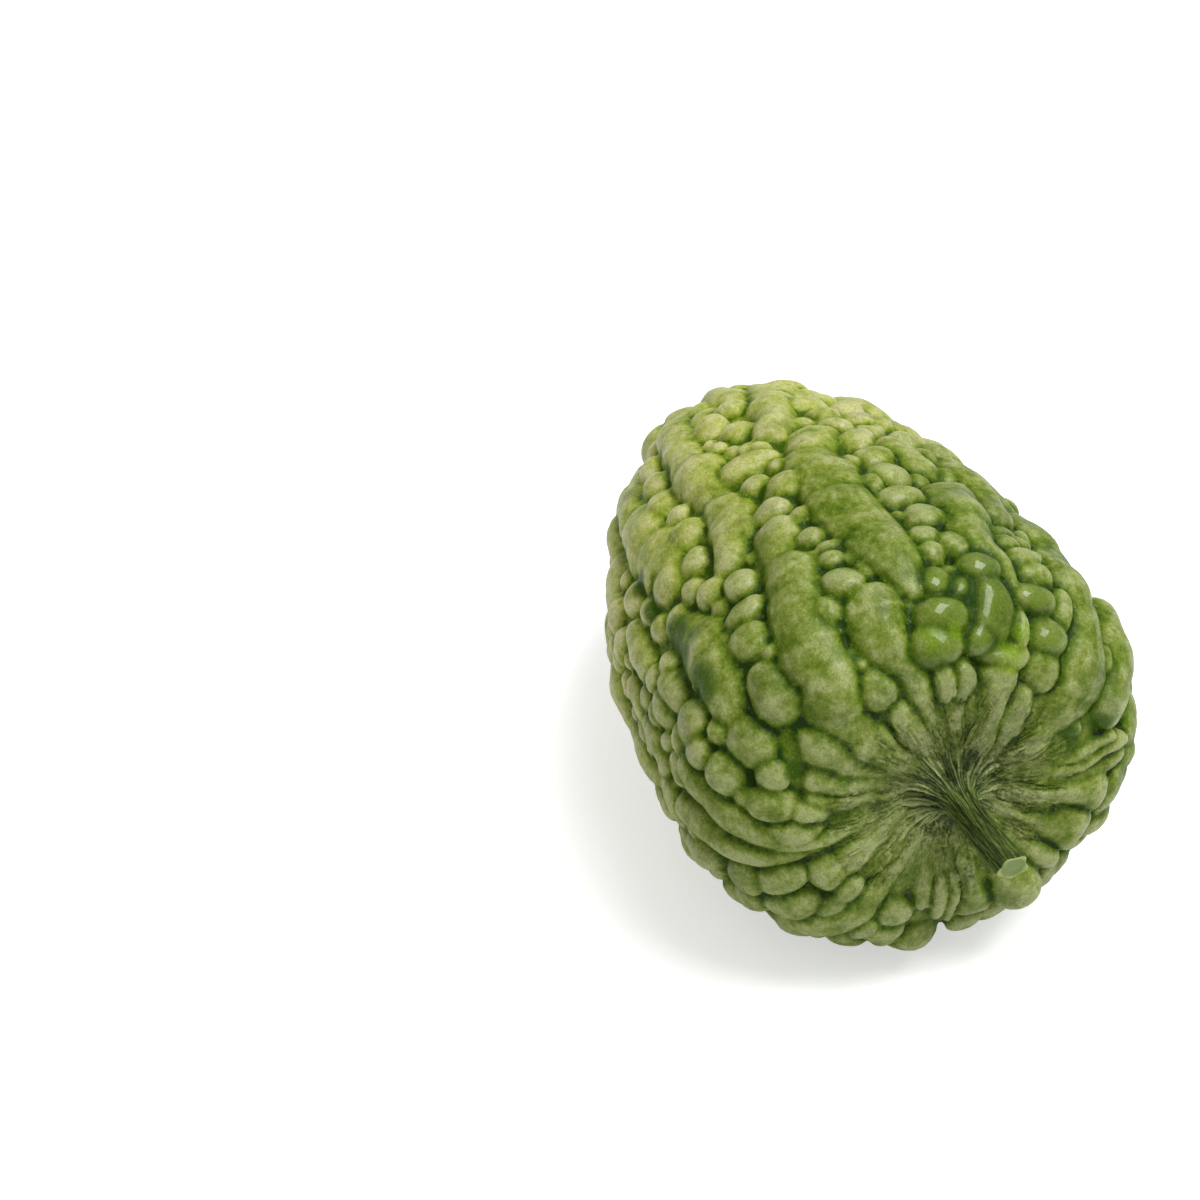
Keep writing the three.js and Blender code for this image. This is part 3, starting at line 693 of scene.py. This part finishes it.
def fibreGroup():
    # strands that run out from the stem: 0 in their grooves and 1 on their crests
    tree, _, given, result = newGroup("stem fibres", "GeometryNodeTree", [
        ("Around", "Float", None), ("From stem", "Float", None), ("Strands", "Float", fruit["fibres"]),
        ("Wander", "Float", 0.5)], [("Fibre", "Float")])
    reach = given["Strands"] / (2 * math.pi)
    ring = made(tree, "ShaderNodeCombineXYZ", {
        0: calc("COSINE", given["Around"]) * reach,
        1: calc("SINE", given["Around"]) * reach,
        2: given["From stem"] * 0.12})
    noise = made(tree, "ShaderNodeTexNoise",
                 {"Vector": ring, "Scale": 1.0, "Detail": 2.0, "Distortion": given["Wander"]})
    groove = calc("ABSOLUTE", noise - 0.5)
    feed(tree, result, {"Fibre": remap(groove, 0.0, 0.13)})
    return tree


def fibreAt(tree, fibres, strands=fruit["fibres"], wander=0.5):
    values = {"Around": named(tree, "around"), "From stem": named(tree, "fromStem"),
              "Strands": strands, "Wander": wander}
    return made(tree, "GeometryNodeGroup", values, node_tree=fibres)


def finishTree(values, fibres):
    # raises the fibres round the stem and roughens the skin
    tree, sockets, given, result = shapeGroup("fruit skin", values)
    fromStem = named(tree, "fromStem")
    fibre = fibreAt(tree, fibres)
    strength = remap(fromStem, *fruit["fibreFade"]) * remap(named(tree, "rise"), 4.5, 1.5, 0.25, 1.0)
    shape = store(given["Geometry"], "fibre", fibre)
    lift = fibre * strength * given["Fibre height"]
    fine = fibreAt(tree, fibres, fruit["wrinkles"], 1.1)
    where = made(tree, "ShaderNodeTexNoise", {"Scale": 130.0, "Detail": 2.0})
    pleated = remap(fromStem, *fruit["wrinkleFade"]) * remap(where, 0.35, 0.6)
    lift = lift + fine * pleated * given["Wrinkle height"]
    for scale, share in ((120.0, 1.0), (270.0, 0.6), (560.0, 0.25)):
        noise = made(tree, "ShaderNodeTexNoise", {"Scale": scale, "Detail": 2.0})
        lift = lift + (noise - 0.5) * (2.0 * share) * given["Unevenness"]
    shape = moved(shape, made(tree, "GeometryNodeInputNormal"), lift)
    endTree(shape, given, result)
    return tree, sockets


def pointsOf(mesh):
    points = np.zeros(len(mesh.vertices) * 3, np.float32)
    mesh.vertices.foreach_get("co", points)
    return points.reshape(-1, 3).astype(float)


def setPoints(mesh, points):
    mesh.vertices.foreach_set("co", points.astype(np.float32).ravel())
    mesh.update()


def nearSpots(distance, angle, spots):
    # 1 in the middle of any of the spots, falling to 0 at their edges
    near = np.zeros(len(distance))
    for along, degrees, reach in spots:
        along = stretched(along)
        girth = np.interp(along, outlineRun, outlineRows[:, 1])
        turned = np.abs((np.degrees(angle) - degrees + 180) % 360 - 180)
        gap = np.hypot(distance - along, np.radians(turned) * girth) / reach
        near = np.maximum(near, eased(np.clip(1.6 * (1 - gap), 0, 1)))
    return near


def markPlaces(mesh):
    # where each point is on the skin, and how high it stands over the valley floor, in mm
    distance, angle, height = overSkin(pointsOf(mesh) / mm)
    setAttribute(mesh, "fromStem", distance)
    setAttribute(mesh, "around", angle)
    setAttribute(mesh, "rise", height + valleyAt(distance))
    setAttribute(mesh, "ring", np.stack([np.cos(angle), np.sin(angle), distance / 100], -1), "FLOAT_VECTOR")
    return distance, angle


def refineNearStem(mesh, reach):
    # quarters the skin's faces within reach of the stem, so that its fibres can be shapes
    work = bmesh.new()
    work.from_mesh(mesh)
    layer = work.verts.layers.float["fromStem"]
    edges = [edge for edge in work.edges if max(vert[layer] for vert in edge.verts) < reach]
    bmesh.ops.subdivide_edges(work, edges=edges, cuts=1, use_grid_fill=True, smooth=0.0)
    work.to_mesh(mesh)
    work.free()


def keepOneSkin(mesh):
    # drops loose crumbs and sealed pockets, so that one closed skin is left
    work = bmesh.new()
    work.from_mesh(mesh)
    fresh = [max(work.verts, key=lambda vert: vert.co.x)]
    kept = set(fresh)
    while fresh:
        vert = fresh.pop()
        for edge in vert.link_edges:
            other = edge.other_vert(vert)
            if other not in kept:
                kept.add(other)
                fresh.append(other)
    loose = [vert for vert in work.verts if vert not in kept]
    bmesh.ops.delete(work, geom=loose, context="VERTS")
    work.to_mesh(mesh)
    work.free()
    print("loose points dropped:", len(loose))


def addTree(piece, name, build, values, *groups):
    tree, sockets = build(values, *groups)
    modifier = piece.modifiers.new(name, "NODES")
    modifier.node_group = tree
    for socket, value in values.items():
        modifier[sockets[socket]] = value


def triangleCount(mesh):
    return sum(len(face.vertices) - 2 for face in mesh.polygons)


def makeFruit(material, fibres):
    guide = guideMesh()
    addTree(guide, "bumps", bumpTree, {
        "Ridge swell": fruit["ridgeSwell"], "Lobe length": fruit["lobeLength"] * mm,
        "Neck depth": fruit["neckDepth"], "Filler gap": fruit["fillerGap"] * mm,
        "Filler largest": fruit["fillerLargest"] * mm, "Warp": fruit["warp"] * mm,
        "Warp scale": fruit["warpScale"], "Seed": fruit["seed"], "Material": material})
    merge = guide.modifiers.new("one skin", "REMESH")
    merge.mode = "VOXEL"
    merge.voxel_size = fruit["voxel"] * mm
    merge.use_smooth_shade = True
    addTree(guide, "crisp", evenTree, {
        "Evening": fruit["evening"], "Fullness": fruit["fullness"], "Crispness": fruit["crispness"],
        "Material": material})
    piece = applied(guide, "fruitMerged")
    keepOneSkin(piece.data)
    print("bumps merged:", len(piece.data.polygons), "faces")
    markPlaces(piece.data)
    refineNearStem(piece.data, fruit["refineReach"])
    print("refined near the stem:", len(piece.data.polygons), "faces")
    addTree(piece, "finish", finishTree, {
        "Fibre height": fruit["fibreHeight"] * mm, "Wrinkle height": fruit["wrinkleHeight"] * mm,
        "Unevenness": fruit["unevenness"] * mm, "Material": material}, fibres)
    thin = piece.modifiers.new("fewer faces", "DECIMATE")
    thin.ratio = min(1.0, fruit["triangles"] / triangleCount(piece.data))
    piece = applied(piece, "fruit_skin")
    keepOneSkin(piece.data)
    distance, angle = markPlaces(piece.data)
    for name, spots in skinSpots.items():
        setAttribute(piece.data, name, nearSpots(distance, angle, spots))
    print("fruit skin:", len(piece.data.polygons), "faces")
    return piece


def findFit(mesh):
    # the scale and place that set the tilted fruit in its CAD box
    points = pointsOf(mesh) @ np.array(tiltMatrix).T
    low, high = (np.array(corner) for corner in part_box("fruit"))
    low[2] -= fruit["restFlat"] * mm
    scale = (high - low) / (points.max(0) - points.min(0))
    return {"scale": scale, "offset": low - points.min(0) * scale}


def placeOnFrame(mesh, fit):
    setPoints(mesh, (pointsOf(mesh) @ np.array(tiltMatrix).T) * fit["scale"] + fit["offset"])


def pressFlat(mesh, floor):
    # the lowest ridges rest on flats
    points = pointsOf(mesh)
    points[:, 2] = np.maximum(points[:, 2], floor)
    setPoints(mesh, points)


stalk = {
    "radius": 2.75,
    "skirtRadius": 10.5,  # where its strands run out over the fruit
    "skirtFall": 2.3,  # how quickly the skirt narrows to the rod
    "footReach": 11.0,  # how far out the strands meet those of the fruit
    "lean": 1.4,  # drift of the cut end, towards +Y
    "cutFlare": 0.15,
    "cutSlant": 0.24,  # its upper edge stands out further
    "ribs": 5,
    "ribHeight": 0.3,
    "skirtWaver": 0.16,  # how uneven its edge is
    "sinking": 0.75,  # of the skirt's edge, under the fruit's skin
    "hold": 7.0,  # above this height the rod no longer follows the skin under it
    "tipRoom": 0.3,  # left for drawing the rod out to its exact length
    "skirtStrands": 0.55,
    "rodStrands": 0.2,
    "rim": [(0.97, 0.18), (0.90, 0.28), (0.80, 0.1), (0.66, -0.15), (0.45, -0.2), (0.22, -0.12)],
    "sides": 180,
    "rings": 78,
    "seed": 4,
}


def skinX(tree, y, z):
    # how far out the fruit's skin is beside the stem
    start = Vector(((outlineRows[0, 0] + 30) * mm, y * mm, z * mm))
    hit = tree.ray_cast(start, Vector((-1, 0, 0)))[0]
    return hit.x / mm if hit else outlineRows[0, 0]


def stemTree(values, fibres):
    tree, sockets, given, result = shapeGroup("stem strands", values)
    fibre = fibreAt(tree, fibres)
    up = named(tree, "upStem")
    height = remap(up, 1.0, 7.0, given["Skirt strands"], given["Rod strands"])
    height = height * remap(up, 0.0, 2.2, 0.15, 1.0)
    side = 1.0 - named(tree, "cut")
    lift = (fibre - 0.5) * (height * side)
    shape = store(given["Geometry"], "fibre", fibre)
    shape = moved(shape, made(tree, "GeometryNodeInputNormal"), lift)
    endTree(shape, given, result)
    return tree, sockets


def makeStem(material, fibres, skin, fit):
    # a ribbed rod whose foot spreads into strands over the fruit, as rings along its length
    seat = outlineRows[0, 0]
    tipX = (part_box("stem")[1][0] - fit["offset"][0]) / fit["scale"][0] / mm
    length = tipX / math.cos(math.radians(fruit["tilt"])) - seat - stalk["tipRoom"]
    under = BVHTree.FromPolygons([vert.co for vert in skin.vertices],
                                 [tuple(face.vertices) for face in skin.polygons])
    count, sides = stalk["rings"], stalk["sides"]
    angle = np.linspace(0, 2 * math.pi, sides, endpoint=False)
    waver = np.random.default_rng(stalk["seed"])
    wavy = sum(waver.uniform(0.4, 1) * np.cos(n * angle + waver.uniform(0, 6.28))
               for n in (7, 11, 13, 17, 23)) / 2.2
    points, up = [], []
    for share in np.linspace(0, 1, count) ** 1.7:
        height = share * length
        spread = (stalk["skirtRadius"] - stalk["radius"]) * math.exp(-height / stalk["skirtFall"])
        ribs = np.cos(stalk["ribs"] * angle + 0.5 + 0.04 * height) + 0.4 * np.cos(3 * angle + 2.1)
        flare = stalk["cutFlare"] * max(0.0, 6 * share - 5) ** 2
        radius = stalk["radius"] + flare + stalk["ribHeight"] * ribs
        radius = radius + spread * (1 + stalk["skirtWaver"] * wavy)
        onSkin = np.array([skinX(under, r * math.cos(a), r * math.sin(a)) for r, a in zip(radius, angle)])
        hold = min(1.0, height / stalk["hold"]) ** 2
        x = onSkin * (1 - hold) + seat * hold + height - stalk["sinking"] * math.exp(-height / 0.6)
        lean = stalk["lean"] * share * share
        points.append(np.stack([x, lean + radius * np.cos(angle), radius * np.sin(angle)], -1))
        up.append(np.full(sides, height))
    faces = [face for i in range(count - 1) for face in band(i * sides, sides)]
    # the cut end goes in from a raised rim to its core
    edge = points[-1]
    middle = edge.mean(0)
    for inner, proud in stalk["rim"]:
        faces += band((len(points) - 1) * sides, sides)
        points.append(middle + (edge - middle) * inner + [proud, 0, 0])
        up.append(np.full(sides, length))
    last, total = (len(points) - 1) * sides, len(points) * sides
    faces += [(last + j, last + (j + 1) % sides, total) for j in range(sides)]
    faces += [((j + 1) % sides, j, total + 1) for j in range(sides)]  # its foot is closed under the skin
    points = np.vstack(points + [[middle - [0.1, 0, 0]], [[seat - 3, 0, 0]]])
    up = np.concatenate(up + [[length, 0]])
    cut = np.zeros(len(points))
    cut[count * sides:total + 1] = 1
    stem = linkMesh("stemRod", points * mm, faces=faces)
    around = np.arctan2(points[:, 2], points[:, 1] - stalk["lean"] * (up / length) ** 2)
    fromAxis = np.hypot(points[:, 1] - stalk["lean"], points[:, 2])
    for name, values in (("around", around), ("fromStem", stalk["footReach"] - up), ("upStem", up),
                         ("cut", cut), ("fromAxis", fromAxis)):
        setAttribute(stem.data, name, values)
    addTree(stem, "strands", stemTree, {
        "Skirt strands": stalk["skirtStrands"] * mm, "Rod strands": stalk["rodStrands"] * mm,
        "Material": material}, fibres)
    stem = applied(stem, "cut_stem")
    placeOnFrame(stem.data, fit)
    return stem


def reachTip(mesh, tip):
    # the rod is drawn out so that its cut end reaches the tip exactly
    points = pointsOf(mesh)
    up = np.zeros(len(points), np.float32)
    mesh.attributes["upStem"].data.foreach_get("value", up)
    share = up / up.max()
    points[:, 0] += stalk["cutSlant"] * (points[:, 2] - points[share > 0.99, 2].mean()) * share**8
    points[:, 0] += (tip - points[:, 0].max()) * share**2
    setPoints(mesh, points)


def mixed(share, first, second, blend="MIX"):
    tree = treeOf((share, first, second))
    first, second = (value if isinstance(value, Wire) else (*value, 1) for value in (first, second))
    return made(tree, "ShaderNodeMix", {0: share, 6: first, 7: second}, 2, data_type="RGBA", blend_type=blend)


def tinted(colour, *tints):
    # each tint is (where it lies, how strong it is, its colour)
    for where, strength, tint in tints:
        colour = mixed(where * strength, colour, tint)
    return colour


def ramp(value, stops):
    node = addNode(value.tree, "ShaderNodeValToRGB", {0: value})
    for _ in stops[2:]:
        node.color_ramp.elements.new(0.5)
    for element, (place, colour) in zip(node.color_ramp.elements, stops):
        element.position = place
        element.color = (*colour, 1)
    return Wire(value.tree, node.outputs[0])


def attribute(tree, name, output="Fac"):
    return made(tree, "ShaderNodeAttribute", output=output, attribute_name=name)


def noiseAt(place, scale, detail=3.0, roughness=0.6):
    values = {"Vector": place, "Scale": scale, "Detail": detail, "Roughness": roughness}
    return made(place.tree, "ShaderNodeTexNoise", values)


def newMaterial(name):
    material = bpy.data.materials.new(name)
    material.use_nodes = True
    return material, material.node_tree, material.node_tree.nodes["Principled BSDF"]


def speckleGroup():
    # the fine speckle of plant skin: light and dark, pale grains, and a height for the bump
    tree, _, given, result = newGroup("plant speckle", "ShaderNodeTree", [
        ("Vector", "Vector", None), ("Size", "Float", 0.0006)], [
        ("Light", "Float"), ("Pale", "Float"), ("Height", "Float")])
    scale = 1.0 / given["Size"]
    fine = noiseAt(given["Vector"], scale, 3.0, 0.65)
    coarse = noiseAt(given["Vector"], scale * 0.28)
    grains = made(tree, "ShaderNodeTexVoronoi", {"Vector": given["Vector"], "Scale": scale * 0.7},
                  output="Distance")
    both = fine * 0.8 + coarse * 0.2
    feed(tree, result, {
        "Light": remap(both, 0.32, 0.68),
        "Pale": remap(coarse, 0.5, 0.72) * remap(grains, 0.5, 0.1),
        "Height": both + grains * 0.25})
    return tree


def speckled(place, speckle, size):
    return madeAll(place.tree, "ShaderNodeGroup", {"Vector": place, "Size": size}, node_tree=speckle)


def bumped(look, height):
    values = {"Strength": look["bumpStrength"], "Distance": look["bumpHeight"], "Height": height}
    return made(height.tree, "ShaderNodeBump", values)


def shaded(colour, grain, darkest, lightest):
    # the speckle darkens and lightens a colour
    shade = remap(grain["Light"], 0.0, 1.0, darkest, lightest, smooth=False)
    grey = made(colour.tree, "ShaderNodeCombineXYZ", {0: shade, 1: shade, 2: shade})
    return mixed(1.0, colour, grey, "MULTIPLY")


skinLook = {
    # the dark stops carry the painted shade of the creases, the palest stops a painted sheen on the crests
    "green": [(0.0, (0.012, 0.034, 0.0002)), (0.2, (0.042, 0.085, 0.0008)), (0.46, (0.086, 0.136, 0.006)),
              (0.74, (0.162, 0.212, 0.034)), (1.0, (0.262, 0.300, 0.104))],
    "yellow": [(0.0, (0.050, 0.100, 0.001)), (0.2, (0.130, 0.195, 0.005)), (0.46, (0.245, 0.300, 0.032)),
               (0.74, (0.375, 0.400, 0.092)), (1.0, (0.470, 0.465, 0.200))],
    "darkGreen": (0.030, 0.066, 0.003),
    "strand": [(0.0, (0.072, 0.108, 0.014)), (0.3, (0.120, 0.165, 0.034)), (0.7, (0.180, 0.225, 0.062)),
               (1.0, (0.380, 0.410, 0.180))],
    # painted shade in the grooves between the strands near the stem
    "paintedPitShade": (0.026, 0.040, 0.006),
    "shoulder": (0.350, 0.380, 0.170),
    "shoulderDark": (0.095, 0.135, 0.028),
    "wetDark": (0.012, 0.040, 0.0002),
    # painted light on the crests of the wet patches
    "wetLitCrest": (0.105, 0.165, 0.003),
    # painted light: a bright rim and a bright green glow on some wet warts
    "paintedGlow": (0.150, 0.250, 0.002),
    "bruise": (0.040, 0.092, 0.001),
    "grain": (0.420, 0.450, 0.250),
    "tone": 0.51,  # how pale the skin is before it is shaded
    # painted shade: how far the creases, slopes and hollows darken the skin's colour
    "creasePaintedShade": 1.25,
    "slopePaintedShade": 0.42,
    "hollowPaintedShade": 0.08,
    "cloudShade": 1.5,
    "mottleShade": 0.7,
    "speckleShade": (0.79, 1.22),
    "yellowFrom": (60.0, 140.0),  # the distances from the stem over which the skin turns yellower
    "shoulderFade": (52.0, 26.0),
    "funnelFade": (26.0, 12.0),
    "shoulderDarkness": 0.12,
    "funnelStrength": 0.75,
    "paintedPitShadeStrength": 0.7,
    "wetStrength": 0.85,
    "paintedGlowStrength": 0.55,
    "bruiseStrength": 0.95,
    "grainStrength": 0.28,
    "strands": 72.0,  # fine ones, round the stem
    "strandStretch": 26.0,
    "blotchScale": 75.0,
    "patchScale": 190.0,
    "mottleScale": 620.0,
    "speckleSize": 0.00045,
    "roughness": (0.54, 0.38),  # in the dark of the speckle and in its light
    "refraction": 1.4,
    "specular": 0.15,
    "dryShine": 0.34,
    "wetShine": 0.95,
    "coatRoughness": 0.1,
    "coatRefraction": 1.42,
    "bumpStrength": 0.45,
    "bumpHeight": 0.00028,
}

# patches of the skin, each as (distance from the stem, degrees round, reach)
skinSpots = {
    "wet": [(50.6, 78, 6), (48, 92.5, 5), (41, 93, 7), (42, 78, 9), (35.5, 82, 5.5), (45, 62, 6),
            (38, 56.5, 5), (46, 85.5, 6), (34.5, 97.5, 6)],
    # painted light: a bright rim on one wet wart and a bright green glow beside others
    "paintedGlow": [(32, 73, 4.6), (37.5, 67.5, 3.4), (37, 99, 3.4), (37.5, 91, 2.6)],
    "bruise": [(26.5, 23, 3.5), (26.5, 14, 3), (33, 17, 4), (73, 153.5, 6), (66, 155, 5), (57, 154, 6.5),
               (93, 155, 4), (33, 160, 3), (84, 156, 4)],
}


def fineStrands(tree):
    # thin lines that wander out from the stem, 0 in between and 1 on their crests
    turn = skinLook["strands"] / (2 * math.pi)
    stretch = (turn, turn, skinLook["strandStretch"])
    ring = vectorCalc("MULTIPLY", attribute(tree, "ring", "Vector"), stretch)
    noise = made(tree, "ShaderNodeTexNoise", {"Vector": ring, "Scale": 1.0, "Detail": 2.5, "Distortion": 1.5})
    return remap(calc("ABSOLUTE", noise - 0.5), 0.11, 0.01)


def skinMaterial(speckle):
    material, tree, shader = newMaterial("warty skin")
    place = made(tree, "ShaderNodeTexCoord", output="Object")
    crease, slope, hollow, rise, fromStem, fibre, wet, paintedGlow, bruise = (
        attribute(tree, name)
        for name in ("crease", "slope", "hollow", "rise", "fromStem", "fibre", "wet", "paintedGlow", "bruise"))
    blotch = noiseAt(place, skinLook["blotchScale"], 4.0)
    patch = noiseAt(place, skinLook["patchScale"], 4.0, 0.65)
    mottle = noiseAt(place, skinLook["mottleScale"])
    grain = speckled(place, speckle, skinLook["speckleSize"])

    # yellower towards the blossom end and on the side that faces -Y
    side = made(tree, "ShaderNodeSeparateXYZ", {0: place}, output=1)
    along = fromStem + (blotch - 0.5) * 90.0
    yellow = remap(along - side * 500.0, *skinLook["yellowFrom"])

    # painted shade in the creases, on the slopes and in the hollows, a painted sheen on the crests, and
    # clouds of uneven tone
    low = fromStem + rise * 1.6
    shoulder = remap(low + patch * 20.0, *skinLook["shoulderFade"])
    cloud = (patch - 0.5) * skinLook["cloudShade"] + (mottle - 0.5) * skinLook["mottleShade"]
    tone = cloud + skinLook["tone"] + shoulder * 0.16
    # painted shade, deepest in the creases
    for share, name in ((crease, "creasePaintedShade"), (slope, "slopePaintedShade"), (hollow, "hollowPaintedShade")):
        tone = tone - share * skinLook[name]
    colour = mixed(yellow, ramp(tone, skinLook["green"]), ramp(tone, skinLook["yellow"]))

    # the fibrous funnel round the stem, its strands thinning out over the shoulder, with painted shade in the
    # grooves between them
    thin = fineStrands(tree) * remap(low, 30.0, 12.0, 0.35, 1.0)
    strandLine = calc("MAXIMUM", fibre, thin)
    funnel = remap(low, *skinLook["funnelFade"])
    leather = (thin * 0.65 + grain["Pale"] * 0.7) * remap(patch, 0.3, 0.55)
    strand = strandLine * remap(patch, 0.3, 0.65, 0.4, 1.0)
    strand = calc("MAXIMUM", strand, remap(low, 11.0, 24.0, 0.0, 0.6))
    # painted shade: dark in the grooves between the strands near the stem
    pitShadeMask = remap(strandLine, 0.55, 0.0) * remap(low, 19.0, 7.0)

    # patches, blotches and speckle
    # the wet patches' own dark green, paler on their crests as painted light
    wetWithLitCrests = mixed(remap(slope, 0.15, -0.5), skinLook["wetDark"], skinLook["wetLitCrest"])
    bruised = remap(bruise + patch * 1.2, 0.75, 1.25) * bruise
    colour = tinted(
        colour,
        (shoulder, skinLook["shoulderDarkness"], skinLook["shoulderDark"]),
        (shoulder, leather, skinLook["shoulder"]),
        (funnel, skinLook["funnelStrength"], ramp(strand, skinLook["strand"])),
        (pitShadeMask, skinLook["paintedPitShadeStrength"], skinLook["paintedPitShade"]),
        (wet, skinLook["wetStrength"], wetWithLitCrests),
        # painted light: bright rims and glow on wet warts
        (paintedGlow, skinLook["paintedGlowStrength"], skinLook["paintedGlow"]),
        (bruised, skinLook["bruiseStrength"], skinLook["bruise"]))
    colour = mixed(remap(blotch, 0.52, 0.68, 0.0, 0.45), colour, skinLook["darkGreen"])
    colour = shaded(colour, grain, *skinLook["speckleShade"])
    colour = tinted(colour, (grain["Pale"], skinLook["grainStrength"], skinLook["grain"]))

    # glossy on the crests and where it is wet, dull in the funnel and on bruises
    rough = remap(grain["Light"], 0.0, 1.0, *skinLook["roughness"], smooth=False)
    crest = remap(slope, 0.1, -0.6)
    shine = remap(wet, 0.0, 1.0, skinLook["dryShine"], skinLook["wetShine"], smooth=False)
    coat = crest * shine * (1.0 - bruise * 0.8) * (1.0 - funnel)
    lines = thin * shoulder * 1.5
    feed(tree, shader, {
        "Base Color": colour,
        "Roughness": rough + funnel * 0.2,
        "IOR": skinLook["refraction"],
        "Specular IOR Level": skinLook["specular"],
        "Coat Weight": coat,
        "Coat Roughness": skinLook["coatRoughness"],
        "Coat IOR": skinLook["coatRefraction"],
        "Normal": bumped(skinLook, grain["Height"] + lines)})
    return material


stemLook = {
    # painted shade: near black in the grooves between the rod's strands
    "groove": (0.012, 0.019, 0.004),
    "side": (0.054, 0.086, 0.012),
    "strand": (0.165, 0.215, 0.055),
    "rim": (0.330, 0.400, 0.095),
    "core": (0.190, 0.255, 0.080),
    "grain": (0.330, 0.370, 0.180),
    "speckleShade": (0.7, 1.3),
    "speckleSize": 0.0004,
    "rimFrom": (2.35, 2.75),  # the rim's inner edge, from the stem's axis
    "roughness": 0.5,
    "specular": 0.25,
    "bumpStrength": 0.4,
    "bumpHeight": 0.0002,
}


def stemMaterial(speckle):
    material, tree, shader = newMaterial("green stalk")
    place = made(tree, "ShaderNodeTexCoord", output="Object")
    grain = speckled(place, speckle, stemLook["speckleSize"])
    fibre, up, cut, fromAxis = (attribute(tree, name) for name in ("fibre", "upStem", "cut", "fromAxis"))
    # painted shade: the grooves between the strands are darkened
    colour = mixed(remap(fibre, 0.0, 0.6), stemLook["groove"], stemLook["side"])
    onStrand = remap(fibre, 0.6, 1.0)
    colour = tinted(colour, (onStrand, remap(up, 16.0, 2.0, 0.35, 0.95), stemLook["strand"]))
    # painted shade in the grooves between the skirt's strands
    skirtPitShadeMask = remap(fibre, 0.55, 0.0, 0.0, 0.7)
    skirt = mixed(skirtPitShadeMask, ramp(fibre, skinLook["strand"]), skinLook["paintedPitShade"])
    colour = mixed(remap(up, 4.0, 0.0), colour, skirt)
    colour = shaded(colour, grain, *stemLook["speckleShade"])
    outwards = fromAxis + grain["Light"] * 0.3
    edge = mixed(remap(outwards, *stemLook["rimFrom"]), stemLook["core"], stemLook["rim"])
    edge = tinted(edge, (grain["Pale"], 0.6, stemLook["grain"]))
    feed(tree, shader, {
        "Base Color": mixed(cut, colour, edge),
        "Roughness": stemLook["roughness"],
        "Specular IOR Level": stemLook["specular"],
        "Normal": bumped(stemLook, grain["Height"])})
    return material


def finishPiece(piece, node):
    piece.data.polygons.foreach_set("use_smooth", np.ones(len(piece.data.polygons), bool))
    piece.data.update()
    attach(piece, "root")
    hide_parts(node)
    print(piece.name, "placed:", triangleCount(piece.data), "triangles")


tiltMatrix = Matrix.Rotation(-math.radians(fruit["tilt"]), 3, "Y")
speckle = speckleGroup()
fibres = fibreGroup()
fruitPiece = makeFruit(skinMaterial(speckle), fibres)
boxFit = findFit(fruitPiece.data)
stemPiece = makeStem(stemMaterial(speckle), fibres, fruitPiece.data, boxFit)
placeOnFrame(fruitPiece.data, boxFit)
pressFlat(fruitPiece.data, cadLow[2])
reachTip(stemPiece.data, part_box("stem")[1][0])
finishPiece(fruitPiece, "fruit")
finishPiece(stemPiece, "stem")


cameraView = {
    "azimuth": 73.0,
    "elevation": 36.0,
    "distance": 0.637,  # from the middle of the part's box
    "aimRight": -0.0481,  # the fruit lies right of the picture's middle
    "aimUp": 0.0056,
    "lens": 93.0,
}


def makeCamera():
    azimuth, elevation = (math.radians(cameraView[key]) for key in ("azimuth", "elevation"))
    right = Vector((math.cos(azimuth), math.sin(azimuth), 0))
    back = Vector((math.sin(azimuth) * math.cos(elevation), -math.cos(azimuth) * math.cos(elevation),
                   math.sin(elevation)))
    up = back.cross(right)
    middle = (Vector(cadLow) + Vector(cadHigh)) / 2
    place = middle + right * cameraView["aimRight"] + up * cameraView["aimUp"] + back * cameraView["distance"]
    data = bpy.data.cameras.new("camera")
    data.lens = cameraView["lens"]
    data.sensor_width = 36
    camera = linkObject("camera", data)
    camera.matrix_world = Matrix.Translation(place) @ Matrix((right, up, back)).transposed().to_4x4()
    bpy.context.scene.camera = camera


studio = {
    "floorSize": 6.0,
    "floorColour": (0.88, 0.88, 0.88, 1),
    "floorGlow": 0.5,  # seen by the camera only
    "keyPlace": (0.30, 0.35, 1.25),
    "keySize": (0.9, 0.7),
    "keyPower": 18,
    "surroundings": 0.5,  # brightness of the white all round
}


def makeFloor():
    reach = studio["floorSize"] / 2
    corners = [(x * reach, y * reach, 0) for x, y in ((-1, -1), (1, -1), (1, 1), (-1, 1))]
    floor = linkMesh("floor", corners, faces=[(0, 1, 2, 3)])
    paint, tree, shader = newMaterial("pale floor")
    seen = made(tree, "ShaderNodeLightPath", output="Is Camera Ray")
    feed(tree, shader, {
        "Base Color": studio["floorColour"], "Roughness": 0.8, "Emission Color": (1, 1, 1, 1),
        "Emission Strength": seen * studio["floorGlow"]})
    floor.data.materials.append(paint)


def makeLight(name, place, size, power):
    data = bpy.data.lights.new(name, "AREA")
    data.shape = "RECTANGLE"
    data.size, data.size_y = size
    data.energy = power
    place = Vector(place)
    facing = place.to_track_quat("Z", "Y").to_matrix().to_4x4()
    linkObject(name, data).matrix_world = Matrix.Translation(place) @ facing


def makeSurroundings():
    world = bpy.data.worlds.new("white studio")
    bpy.context.scene.world = world
    world.use_nodes = True
    tree = world.node_tree
    seen = made(tree, "ShaderNodeLightPath", output="Is Camera Ray")
    strength = remap(seen, 0.0, 1.0, studio["surroundings"], 1.0, smooth=False)
    feed(tree, tree.nodes["Background"], {"Color": (1, 1, 1, 1), "Strength": strength})


makeCamera()
makeFloor()
makeLight("overhead softbox", studio["keyPlace"], studio["keySize"], studio["keyPower"])
makeSurroundings()
bpy.context.scene.view_settings.view_transform = "Standard"
print("floor, light and camera placed")
